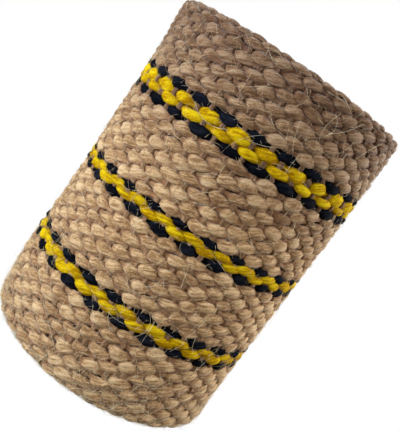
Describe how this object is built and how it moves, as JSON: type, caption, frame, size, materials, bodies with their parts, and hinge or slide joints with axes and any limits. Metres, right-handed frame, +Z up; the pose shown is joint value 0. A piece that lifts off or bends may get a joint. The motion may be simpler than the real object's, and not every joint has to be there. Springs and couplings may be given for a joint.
{
  "type": "rainstick",
  "caption": "Short cylindrical rain shaker: a pegged tube with loose seeds, wrapped in a heavy striped woven jute band and closed by wooden end discs.",
  "frame": {"origin": "centre of the ring that the rainstick stands on", "axes": "+Z up along the tube, from one end disc to the other; -Y the face seen first; +Y the butted seam of the webbing"},
  "size_m": [0.0858, 0.086, 0.12],
  "materials": {
    "jute": "coarse plain weave of thick natural jute yarns, matt and hairy",
    "yellow_jute": "thick jute yarn dyed yellow, matt with a slight fibre sheen",
    "black_jute": "thick jute yarn dyed black, matt with stray pale fibres",
    "twine": "thin two-ply jute twine",
    "cardboard": "spiral-wound brown kraft board",
    "disc_wood": "turned softwood, waxed",
    "bamboo": "split bamboo skewers, raw",
    "steel": "bright drawn wire",
    "seed_coat": "smooth dry seed coat"
  },
  "bodies": {
    "root": {"jute_sleeve": "jute", "seam_stitching": "twine", "tube": "cardboard", "bottom_disc": "disc_wood", "top_disc": "disc_wood", "top_stripe_upper_black": "black_jute", "top_stripe_lower_black": "black_jute", "middle_stripe_upper_black": "black_jute", "middle_stripe_lower_black": "black_jute", "bottom_stripe_upper_black": "black_jute", "bottom_stripe_lower_black": "black_jute", "top_stripe_yellow": "yellow_jute", "middle_stripe_yellow": "yellow_jute", "bottom_stripe_yellow": "yellow_jute", "bottom_brad_1": "steel", "bottom_brad_2": "steel", "bottom_brad_3": "steel", "top_brad_1": "steel", "top_brad_2": "steel", "top_brad_3": "steel", "peg_01": "bamboo", "peg_02": "bamboo", "peg_03": "bamboo", "peg_04": "bamboo", "peg_05": "bamboo", "peg_06": "bamboo", "peg_07": "bamboo", "peg_08": "bamboo", "peg_09": "bamboo", "peg_10": "bamboo", "peg_11": "bamboo", "peg_12": "bamboo", "peg_13": "bamboo", "peg_14": "bamboo", "peg_15": "bamboo", "peg_16": "bamboo", "peg_17": "bamboo", "peg_18": "bamboo", "peg_19": "bamboo", "peg_20": "bamboo", "peg_21": "bamboo", "peg_22": "bamboo", "peg_23": "bamboo", "peg_24": "bamboo"},
    "seed_01_body": {"seed_01": "seed_coat"},
    "seed_02_body": {"seed_02": "seed_coat"},
    "seed_03_body": {"seed_03": "seed_coat"},
    "seed_04_body": {"seed_04": "seed_coat"},
    "seed_05_body": {"seed_05": "seed_coat"},
    "seed_06_body": {"seed_06": "seed_coat"},
    "seed_07_body": {"seed_07": "seed_coat"},
    "seed_08_body": {"seed_08": "seed_coat"},
    "seed_09_body": {"seed_09": "seed_coat"},
    "seed_10_body": {"seed_10": "seed_coat"},
    "seed_11_body": {"seed_11": "seed_coat"},
    "seed_12_body": {"seed_12": "seed_coat"},
    "seed_13_body": {"seed_13": "seed_coat"},
    "seed_14_body": {"seed_14": "seed_coat"},
    "seed_15_body": {"seed_15": "seed_coat"},
    "seed_16_body": {"seed_16": "seed_coat"}
  },
  "joints": [
    {"name": "seed_01_slide", "type": "slide", "parent": "root", "child": "seed_01_body", "axis": [0, 0, 1], "range_m": [0, 0.09]},
    {"name": "seed_02_slide", "type": "slide", "parent": "root", "child": "seed_02_body", "axis": [0, 0, 1], "range_m": [0, 0.09]},
    {"name": "seed_03_slide", "type": "slide", "parent": "root", "child": "seed_03_body", "axis": [0, 0, 1], "range_m": [0, 0.09]},
    {"name": "seed_04_slide", "type": "slide", "parent": "root", "child": "seed_04_body", "axis": [0, 0, 1], "range_m": [0, 0.09]},
    {"name": "seed_05_slide", "type": "slide", "parent": "root", "child": "seed_05_body", "axis": [0, 0, 1], "range_m": [0, 0.09]},
    {"name": "seed_06_slide", "type": "slide", "parent": "root", "child": "seed_06_body", "axis": [0, 0, 1], "range_m": [0, 0.09]},
    {"name": "seed_07_slide", "type": "slide", "parent": "root", "child": "seed_07_body", "axis": [0, 0, 1], "range_m": [0, 0.09]},
    {"name": "seed_08_slide", "type": "slide", "parent": "root", "child": "seed_08_body", "axis": [0, 0, 1], "range_m": [0, 0.09]},
    {"name": "seed_09_slide", "type": "slide", "parent": "root", "child": "seed_09_body", "axis": [0, 0, 1], "range_m": [0, 0.09]},
    {"name": "seed_10_slide", "type": "slide", "parent": "root", "child": "seed_10_body", "axis": [0, 0, 1], "range_m": [0, 0.09]},
    {"name": "seed_11_slide", "type": "slide", "parent": "root", "child": "seed_11_body", "axis": [0, 0, 1], "range_m": [0, 0.09]},
    {"name": "seed_12_slide", "type": "slide", "parent": "root", "child": "seed_12_body", "axis": [0, 0, 1], "range_m": [0, 0.09]},
    {"name": "seed_13_slide", "type": "slide", "parent": "root", "child": "seed_13_body", "axis": [0, 0, 1], "range_m": [0, 0.09]},
    {"name": "seed_14_slide", "type": "slide", "parent": "root", "child": "seed_14_body", "axis": [0, 0, 1], "range_m": [0, 0.09]},
    {"name": "seed_15_slide", "type": "slide", "parent": "root", "child": "seed_15_body", "axis": [0, 0, 1], "range_m": [0, 0.09]},
    {"name": "seed_16_slide", "type": "slide", "parent": "root", "child": "seed_16_body", "axis": [0, 0, 1], "range_m": [0, 0.09]}
  ]
}
